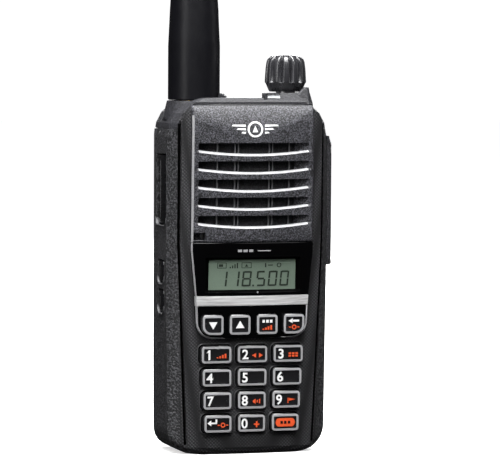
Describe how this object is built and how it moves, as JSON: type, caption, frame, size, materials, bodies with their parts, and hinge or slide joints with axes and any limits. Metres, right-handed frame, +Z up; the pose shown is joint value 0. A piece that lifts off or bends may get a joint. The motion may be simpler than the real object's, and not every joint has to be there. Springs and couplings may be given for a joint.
{
  "type": "handheld aviation radio",
  "caption": "Handheld airband radio with a leaning front, speaker grille, display, keypad, side keys, volume knob, bayonet antenna and a swing-out battery pack with a belt clip.",
  "frame": {"origin": "centre of the flat base, under the body", "axes": "+Z up along the body and antenna, -Y out of the front with the keys, +X towards the jack cover (the viewer's right)"},
  "size_m": [0.0545, 0.0373, 0.282],
  "materials": {
    "case_black": "fine grain",
    "panel_black": "sand grain",
    "gloss_black": "glossy",
    "trim_metal": "brushed",
    "die_cast": "die cast",
    "steel": "satin",
    "seal_rubber": "matt",
    "board": "satin",
    "brass": "satin",
    "lcd": "matt grey-green",
    "holder": "satin",
    "silicone": "matt",
    "antenna_rubber": "satin",
    "key_black": "glossy with a light ring",
    "side_rubber": "satin",
    "lens": "clear white",
    "copper": "drawn wire",
    "cell_wrap": "shrink wrap",
    "speaker_black": "pressed",
    "mesh_steel": "woven",
    "knob_black": "semi gloss",
    "switch_metal": "satin",
    "switch_black": "satin"
  },
  "bodies": {
    "radio": {"front_case": "case_black", "grille_panel": "panel_black", "display_window": "gloss_black", "trim_strip": "trim_metal", "key_bezel": "gloss_black", "top_cover": "case_black", "chassis": "die_cast", "main_seal": "seal_rubber", "chassis_screws": "steel", "speaker": "speaker_black", "speaker_mesh": "mesh_steel", "microphone": "steel", "lcd_panel": "lcd", "lcd_frame": "holder", "keypad_mat": "silicone", "logic_board": "board", "main_board": "board", "rf_shield": "steel", "antenna_connector": "brass", "connector_nut": "steel", "volume_switch": "switch_metal", "volume_nut": "steel", "led_lens": "lens", "side_switch_board": "board", "audio_jacks": "switch_black", "battery_terminals": "brass"},
    "volume_control": {"volume_knob": "knob_black", "volume_shaft": "steel"},
    "talk_button": {"ptt_button": "side_rubber"},
    "side_key_up": {"side_key_upper": "side_rubber"},
    "side_key_low": {"side_key_lower": "side_rubber"},
    "body_key_down": {"key_down": "key_black"},
    "body_key_up": {"key_up": "key_black"},
    "body_key_recall": {"key_recall": "key_black"},
    "body_key_clear": {"key_clear": "key_black"},
    "body_key_1": {"key_1": "key_black"},
    "body_key_2": {"key_2": "key_black"},
    "body_key_3": {"key_3": "key_black"},
    "body_key_4": {"key_4": "key_black"},
    "body_key_5": {"key_5": "key_black"},
    "body_key_6": {"key_6": "key_black"},
    "body_key_7": {"key_7": "key_black"},
    "body_key_8": {"key_8": "key_black"},
    "body_key_9": {"key_9": "key_black"},
    "body_key_enter": {"key_enter": "key_black"},
    "body_key_0": {"key_0": "key_black"},
    "body_key_function": {"key_function": "key_black"},
    "jack_cover_body": {"jack_cover": "case_black", "jack_cover_screw": "steel"},
    "antenna": {"antenna_sleeve": "antenna_rubber", "antenna_coil": "copper", "antenna_plug": "brass"},
    "battery": {"battery_case": "case_black", "battery_cells": "cell_wrap", "battery_contacts": "brass", "battery_catch": "steel", "clip_pin": "steel", "clip_spring": "steel"},
    "latch": {"release_latch": "case_black"},
    "clip": {"belt_clip": "case_black"}
  },
  "joints": [
    {"name": "volume_turn", "type": "hinge", "parent": "radio", "child": "volume_control", "pos_m": [0.0143, 0.0005, 0.118], "axis": [0, 0, 1], "range_deg": [-270, 0]},
    {"name": "talk_press", "type": "slide", "parent": "radio", "child": "talk_button", "axis": [1, 0, 0], "range_m": [0, 0.0008], "stiffness_N_per_m": 800},
    {"name": "side_upper_press", "type": "slide", "parent": "radio", "child": "side_key_up", "axis": [1, 0, 0], "range_m": [0, 0.0005], "stiffness_N_per_m": 800},
    {"name": "side_lower_press", "type": "slide", "parent": "radio", "child": "side_key_low", "axis": [1, 0, 0], "range_m": [0, 0.0005], "stiffness_N_per_m": 800},
    {"name": "press_down", "type": "slide", "parent": "radio", "child": "body_key_down", "axis": [0, 1, 0], "range_m": [0, 0.0006], "stiffness_N_per_m": 800},
    {"name": "press_up", "type": "slide", "parent": "radio", "child": "body_key_up", "axis": [0, 1, 0], "range_m": [0, 0.0006], "stiffness_N_per_m": 800},
    {"name": "press_recall", "type": "slide", "parent": "radio", "child": "body_key_recall", "axis": [0, 1, 0], "range_m": [0, 0.0006], "stiffness_N_per_m": 800},
    {"name": "press_clear", "type": "slide", "parent": "radio", "child": "body_key_clear", "axis": [0, 1, 0], "range_m": [0, 0.0006], "stiffness_N_per_m": 800},
    {"name": "press_1", "type": "slide", "parent": "radio", "child": "body_key_1", "axis": [0, 1, 0], "range_m": [0, 0.0006], "stiffness_N_per_m": 800},
    {"name": "press_2", "type": "slide", "parent": "radio", "child": "body_key_2", "axis": [0, 1, 0], "range_m": [0, 0.0006], "stiffness_N_per_m": 800},
    {"name": "press_3", "type": "slide", "parent": "radio", "child": "body_key_3", "axis": [0, 1, 0], "range_m": [0, 0.0006], "stiffness_N_per_m": 800},
    {"name": "press_4", "type": "slide", "parent": "radio", "child": "body_key_4", "axis": [0, 1, 0], "range_m": [0, 0.0006], "stiffness_N_per_m": 800},
    {"name": "press_5", "type": "slide", "parent": "radio", "child": "body_key_5", "axis": [0, 1, 0], "range_m": [0, 0.0006], "stiffness_N_per_m": 800},
    {"name": "press_6", "type": "slide", "parent": "radio", "child": "body_key_6", "axis": [0, 1, 0], "range_m": [0, 0.0006], "stiffness_N_per_m": 800},
    {"name": "press_7", "type": "slide", "parent": "radio", "child": "body_key_7", "axis": [0, 1, 0], "range_m": [0, 0.0006], "stiffness_N_per_m": 800},
    {"name": "press_8", "type": "slide", "parent": "radio", "child": "body_key_8", "axis": [0, 1, 0], "range_m": [0, 0.0006], "stiffness_N_per_m": 800},
    {"name": "press_9", "type": "slide", "parent": "radio", "child": "body_key_9", "axis": [0, 1, 0], "range_m": [0, 0.0006], "stiffness_N_per_m": 800},
    {"name": "press_enter", "type": "slide", "parent": "radio", "child": "body_key_enter", "axis": [0, 1, 0], "range_m": [0, 0.0006], "stiffness_N_per_m": 800},
    {"name": "press_0", "type": "slide", "parent": "radio", "child": "body_key_0", "axis": [0, 1, 0], "range_m": [0, 0.0006], "stiffness_N_per_m": 800},
    {"name": "press_function", "type": "slide", "parent": "radio", "child": "body_key_function", "axis": [0, 1, 0], "range_m": [0, 0.0006], "stiffness_N_per_m": 800},
    {"name": "jack_cover_open", "type": "hinge", "parent": "radio", "child": "jack_cover_body", "pos_m": [0.0271, 0, 0.0593], "axis": [0, 1, 0], "range_deg": [0, 95]},
    {"name": "antenna_bayonet", "type": "hinge", "parent": "radio", "child": "antenna", "pos_m": [-0.0153, 0.0015, 0.1175], "axis": [0, 0, 1], "range_deg": [0, 90]},
    {"name": "battery_swing", "type": "hinge", "parent": "radio", "child": "battery", "pos_m": [0, 0.0126, 0.1024], "axis": [1, 0, 0], "range_deg": [0, 25], "deforming": ["battery_catch"]},
    {"name": "latch_slide", "type": "slide", "parent": "battery", "child": "latch", "axis": [0, 1, 0], "range_m": [0, 0.0015], "stiffness_N_per_m": 600},
    {"name": "clip_squeeze", "type": "hinge", "parent": "battery", "child": "clip", "pos_m": [0, 0.0183, 0.086], "axis": [1, 0, 0], "range_deg": [0, 12], "stiffness_Nm_per_rad": 0.5}
  ]
}
